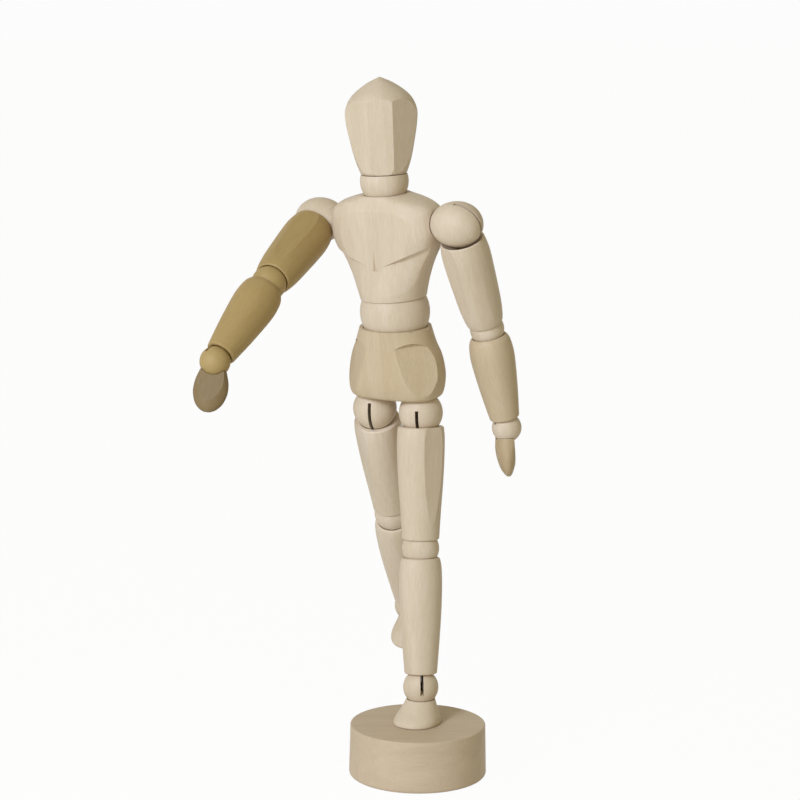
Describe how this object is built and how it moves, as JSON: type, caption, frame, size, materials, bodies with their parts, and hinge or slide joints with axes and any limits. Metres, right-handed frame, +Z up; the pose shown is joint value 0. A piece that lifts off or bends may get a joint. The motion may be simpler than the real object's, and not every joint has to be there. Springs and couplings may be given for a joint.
{
  "type": "artist mannequin",
  "caption": "Jointed wooden figure of turned and planed pieces on slotted balls, standing on one foot on a thick round base, one leg back and both arms held out.",
  "frame": {"origin": "centre of the underside of the base disc", "axes": "+Z up; -Y towards the front of the figure as pictured; +X towards the figure's left arm"},
  "size_m": [0.1434, 0.1483, 0.3134],
  "materials": {
    "light_wood": "fine sanded, clear satin",
    "steel": "plain drawn wire"
  },
  "bodies": {
    "base": {"base": "light_wood", "base_screw": "steel", "left_foot": "light_wood", "left_foot_stem": "steel"},
    "left_ankle": {"left_ankle_ball": "light_wood", "left_ankle_pin": "steel"},
    "left_shin": {"left_shin": "light_wood", "left_shin_spring": "steel"},
    "left_knee": {"left_knee_ball": "light_wood", "left_knee_pin": "steel"},
    "left_thigh": {"left_thigh": "light_wood", "left_thigh_spring": "steel"},
    "left_hip": {"left_hip_ball": "light_wood", "left_hip_pin": "steel"},
    "pelvis": {"pelvis": "light_wood", "hip_bow": "steel", "waist_stem": "steel"},
    "right_hip": {"right_hip_ball": "light_wood", "right_hip_pin": "steel"},
    "right_thigh": {"right_thigh": "light_wood", "right_thigh_spring": "steel"},
    "right_knee": {"right_knee_ball": "light_wood", "right_knee_pin": "steel"},
    "right_shin": {"right_shin": "light_wood", "right_shin_spring": "steel"},
    "right_ankle": {"right_ankle_ball": "light_wood", "right_ankle_pin": "steel"},
    "right_foot": {"right_foot": "light_wood", "right_foot_stem": "steel"},
    "waist": {"waist": "light_wood", "waist_pin": "steel"},
    "chest": {"chest": "light_wood", "chest_spring": "steel", "shoulder_spring": "steel"},
    "neck": {"neck": "light_wood", "neck_pin": "steel"},
    "head": {"head": "light_wood", "head_stem": "steel"},
    "left_shoulder": {"left_shoulder_ball": "light_wood", "left_shoulder_pin": "steel"},
    "left_upper_arm": {"left_upper_arm": "light_wood", "left_upper_arm_spring": "steel"},
    "left_elbow": {"left_elbow_ball": "light_wood", "left_elbow_pin": "steel"},
    "left_forearm": {"left_forearm": "light_wood", "left_forearm_spring": "steel"},
    "left_wrist": {"left_wrist_ball": "light_wood"},
    "left_hand": {"left_hand": "light_wood", "left_hand_stem": "steel"},
    "right_shoulder": {"right_shoulder_ball": "light_wood", "right_shoulder_pin": "steel"},
    "right_upper_arm": {"right_upper_arm": "light_wood", "right_upper_arm_spring": "steel"},
    "right_elbow": {"right_elbow_ball": "light_wood", "right_elbow_pin": "steel"},
    "right_forearm": {"right_forearm": "light_wood", "right_forearm_spring": "steel"},
    "right_wrist": {"right_wrist_ball": "light_wood"},
    "right_hand": {"right_hand": "light_wood", "right_hand_stem": "steel"}
  },
  "joints": [
    {"name": "left_ankle_turn", "type": "hinge", "parent": "base", "child": "left_ankle", "pos_m": [0.0012, 0.003, 0.0396], "axis": [0, 0, 1], "range_deg": [-47, 43]},
    {"name": "left_ankle_bend", "type": "hinge", "parent": "left_ankle", "child": "left_shin", "pos_m": [0.0012, 0.003, 0.0396], "axis": [0.9976, 0.0698, 0], "range_deg": [-17, 37]},
    {"name": "left_knee_bend", "type": "hinge", "parent": "left_shin", "child": "left_knee", "pos_m": [0.00066, 0.01066, 0.10213], "axis": [0.9976, 0.0698, 0], "range_deg": [-30, 4]},
    {"name": "left_knee_turn", "type": "hinge", "parent": "left_knee", "child": "left_thigh", "pos_m": [0.00066, 0.01066, 0.10213], "axis": [-0.0058, 0.0835, 0.9965], "range_deg": [-44.5, 55.5]},
    {"name": "left_hip_bend", "type": "hinge", "parent": "left_thigh", "child": "left_hip", "pos_m": [0.0003, 0.01579, 0.16342], "axis": [0.9792, -0.2018, 0.0226], "range_deg": [-20, 37]},
    {"name": "left_hip_turn", "type": "hinge", "parent": "left_hip", "child": "pelvis", "pos_m": [0.0003, 0.01579, 0.16342], "axis": [0.034, 0.0532, -0.998], "range_deg": [-47, 43]},
    {"name": "right_hip_turn", "type": "hinge", "parent": "pelvis", "child": "right_hip", "pos_m": [-0.02041, 0.0271, 0.16331], "axis": [-0.034, -0.0532, 0.998], "range_deg": [-44, 46]},
    {"name": "right_hip_bend", "type": "hinge", "parent": "right_hip", "child": "right_thigh", "pos_m": [-0.02041, 0.0271, 0.16331], "axis": [0.9673, -0.2527, 0.0195], "range_deg": [-24, 10]},
    {"name": "right_knee_turn", "type": "hinge", "parent": "right_thigh", "child": "right_knee", "pos_m": [-0.01222, 0.05425, 0.10874], "axis": [-0.1333, -0.4415, 0.8873], "range_deg": [-54, 46]},
    {"name": "right_knee_bend", "type": "hinge", "parent": "right_knee", "child": "right_shin", "pos_m": [-0.01222, 0.05425, 0.10874], "axis": [0.98, -0.1921, 0.0516], "range_deg": [-11.5, 38.5]},
    {"name": "right_ankle_bend", "type": "hinge", "parent": "right_shin", "child": "right_ankle", "pos_m": [-0.00295, 0.08732, 0.05592], "axis": [0.98, -0.1921, 0.0516], "range_deg": [-22, 32]},
    {"name": "right_ankle_turn", "type": "hinge", "parent": "right_ankle", "child": "right_foot", "pos_m": [-0.00295, 0.08732, 0.05592], "axis": [-0.127, -0.4044, 0.9057], "range_deg": [-48, 52]},
    {"name": "waist_turn", "type": "hinge", "parent": "pelvis", "child": "waist", "pos_m": [-0.0116, 0.01903, 0.20877], "axis": [-0.034, -0.0532, 0.998], "range_deg": [-41, 49]},
    {"name": "waist_bend", "type": "hinge", "parent": "waist", "child": "chest", "pos_m": [-0.0116, 0.01903, 0.20877], "axis": [0.8404, -0.5403, 0.0418], "range_deg": [-20, 16]},
    {"name": "neck_bend", "type": "hinge", "parent": "chest", "child": "neck", "pos_m": [-0.01668, 0.01566, 0.26746], "axis": [0.8404, -0.5403, 0.0418], "range_deg": [-12.5, 19.5]},
    {"name": "head_turn", "type": "hinge", "parent": "neck", "child": "head", "pos_m": [-0.01668, 0.01566, 0.26746], "axis": [-0.0533, -0.0056, 0.9986], "range_deg": [-106, 44]},
    {"name": "left_shoulder_swing", "type": "hinge", "parent": "chest", "child": "left_shoulder", "pos_m": [0.01558, -0.00301, 0.25068], "axis": [0.8404, -0.5403, 0.0418], "range_deg": [-108.5, 41.5]},
    {"name": "left_shoulder_spread", "type": "hinge", "parent": "left_shoulder", "child": "left_upper_arm", "pos_m": [0.01558, -0.00301, 0.25068], "axis": [-0.4796, -0.7775, -0.4068], "range_deg": [-4.5, 74.5]},
    {"name": "left_elbow_turn", "type": "hinge", "parent": "left_upper_arm", "child": "left_elbow", "pos_m": [0.02947, 0.01395, 0.20188], "axis": [-0.2596, -0.3171, 0.9122], "range_deg": [-45, 45]},
    {"name": "left_elbow_bend", "type": "hinge", "parent": "left_elbow", "child": "left_forearm", "pos_m": [0.02947, 0.01395, 0.20188], "axis": [0.9338, -0.3233, 0.1534], "range_deg": [-21, 16]},
    {"name": "left_wrist_bend", "type": "hinge", "parent": "left_forearm", "child": "left_wrist", "pos_m": [0.03906, 0.01992, 0.15605], "axis": [0.526, -0.8505, -0.0006], "range_deg": [-26, 37]},
    {"name": "left_hand_turn", "type": "hinge", "parent": "left_wrist", "child": "left_hand", "pos_m": [0.03906, 0.01992, 0.15605], "axis": [-0.0271, -0.0175, 0.9995], "range_deg": [-60, 60]},
    {"name": "right_shoulder_swing", "type": "hinge", "parent": "chest", "child": "right_shoulder", "pos_m": [-0.04577, 0.03643, 0.24763], "axis": [0.8404, -0.5403, 0.0418], "range_deg": [-60.5, 50.5]},
    {"name": "right_shoulder_spread", "type": "hinge", "parent": "right_shoulder", "child": "right_upper_arm", "pos_m": [-0.04577, 0.03643, 0.24763], "axis": [0.2681, 0.3474, -0.8986], "range_deg": [-3, 80]},
    {"name": "right_elbow_turn", "type": "hinge", "parent": "right_upper_arm", "child": "right_elbow", "pos_m": [-0.06679, -0.00702, 0.22456], "axis": [0.3929, 0.8122, 0.4312], "range_deg": [-45, 45]},
    {"name": "right_elbow_bend", "type": "hinge", "parent": "right_elbow", "child": "right_forearm", "pos_m": [-0.06679, -0.00702, 0.22456], "axis": [-0.8718, 0.1798, 0.4557], "range_deg": [-17, 20]},
    {"name": "right_wrist_bend", "type": "hinge", "parent": "right_forearm", "child": "right_wrist", "pos_m": [-0.08843, -0.03665, 0.19486], "axis": [-0.6929, 0.6957, -0.1895], "range_deg": [-9.5, 53.5]},
    {"name": "right_hand_turn", "type": "hinge", "parent": "right_wrist", "child": "right_hand", "pos_m": [-0.08843, -0.03665, 0.19486], "axis": [0.1359, 0.3841, 0.9132], "range_deg": [-60, 60]}
  ]
}
